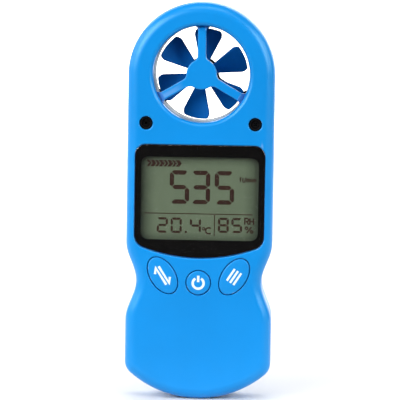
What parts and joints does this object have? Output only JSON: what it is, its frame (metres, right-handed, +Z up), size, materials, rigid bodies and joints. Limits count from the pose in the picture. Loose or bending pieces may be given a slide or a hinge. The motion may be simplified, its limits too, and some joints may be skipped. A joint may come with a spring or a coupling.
{
  "type": "handheld weather meter",
  "caption": "Pocket wind, temperature and humidity meter: blue moulded case, guarded vane wheel in a duct, segment display window, three keys and a sliding battery door.",
  "frame": {"origin": "centre of the case's width and depth, at the lowest point of its round base", "axes": "+Z up the instrument towards the vane wheel, -Y out of the face with the display and keys, +X to the right seen from the front"},
  "size_m": [0.0434, 0.018, 0.118],
  "materials": {
    "blue_shell": "bright blue moulded ABS, satin gloss",
    "blue_key": "bright blue moulded key caps, satin",
    "navy_vane": "dark blue moulded vane wheel, satin",
    "black_plastic": "black moulded plastic",
    "grey_sleeve": "light grey moulded liner, satin gloss",
    "clear_window": "clear acrylic, polished",
    "black_border": "black adhesive frame behind the window",
    "display_glass": "thin cell glass of the liquid crystal panel",
    "display_film": "greenish grey polariser and reflector film",
    "white_plastic": "white moulded plastic",
    "rubber": "layered elastomer connector",
    "board": "green solder-masked glass-fibre board",
    "epoxy": "black moulding compound",
    "steel": "plated steel",
    "brass": "gold-plated spring brass",
    "magnet": "sintered ring magnet",
    "ribbon": "amber flexible circuit",
    "white_print": "white pad-printed ink marks",
    "display_segments": "dark switched segments of the display"
  },
  "bodies": {
    "case": {"front_shell": "blue_shell", "rear_shell": "blue_shell", "duct_sleeve": "grey_sleeve", "rear_guard": "black_plastic", "front_bearing": "brass", "rear_bearing": "brass", "hall_sensor": "epoxy", "hall_ribbon": "ribbon", "display_lens": "clear_window", "lens_gasket": "black_border", "lcd_polariser": "display_film", "lcd_front_pane": "display_glass", "lcd_rear_pane": "display_glass", "lcd_reflector": "display_film", "lcd_frame": "white_plastic", "zebra_strip": "rubber", "main_board": "board", "controller": "epoxy", "crystal": "steel", "thermistor": "epoxy", "humidity_sensor": "white_plastic", "units_switch": "black_plastic", "power_switch": "black_plastic", "set_switch": "black_plastic", "sensor_cap_left": "black_plastic", "sensor_cap_right": "black_plastic", "case_screw_1": "steel", "case_screw_2": "steel", "case_screw_3": "steel", "case_screw_4": "steel", "board_screw_1": "steel", "board_screw_2": "steel", "board_screw_3": "steel", "board_screw_4": "steel", "coin_cell": "steel", "contact_negative": "brass", "contact_positive": "brass"},
    "wheel": {"rotor": "navy_vane", "rotor_shaft": "steel", "rotor_magnet": "magnet"},
    "units_key": {"units_button": "blue_key"},
    "power_key": {"power_button": "blue_key"},
    "set_key": {"set_button": "blue_key"},
    "door": {"battery_door": "blue_shell"}
  },
  "joints": [
    {"name": "rotor_spin", "type": "hinge", "parent": "case", "child": "wheel", "pos_m": [0, 0, 0.0967], "axis": [0, 1, 0], "continuous": true},
    {"name": "units_press", "type": "slide", "parent": "case", "child": "units_key", "axis": [0, 1, 0], "range_m": [0, 0.0005], "stiffness_N_per_m": 2500, "springref_m": -0.0001},
    {"name": "power_press", "type": "slide", "parent": "case", "child": "power_key", "axis": [0, 1, 0], "range_m": [0, 0.0005], "stiffness_N_per_m": 2500, "springref_m": -0.0001},
    {"name": "set_press", "type": "slide", "parent": "case", "child": "set_key", "axis": [0, 1, 0], "range_m": [0, 0.0005], "stiffness_N_per_m": 2500, "springref_m": -0.0001},
    {"name": "door_slide", "type": "slide", "parent": "case", "child": "door", "axis": [0, 0, -1], "range_m": [0, 0.033]}
  ]
}
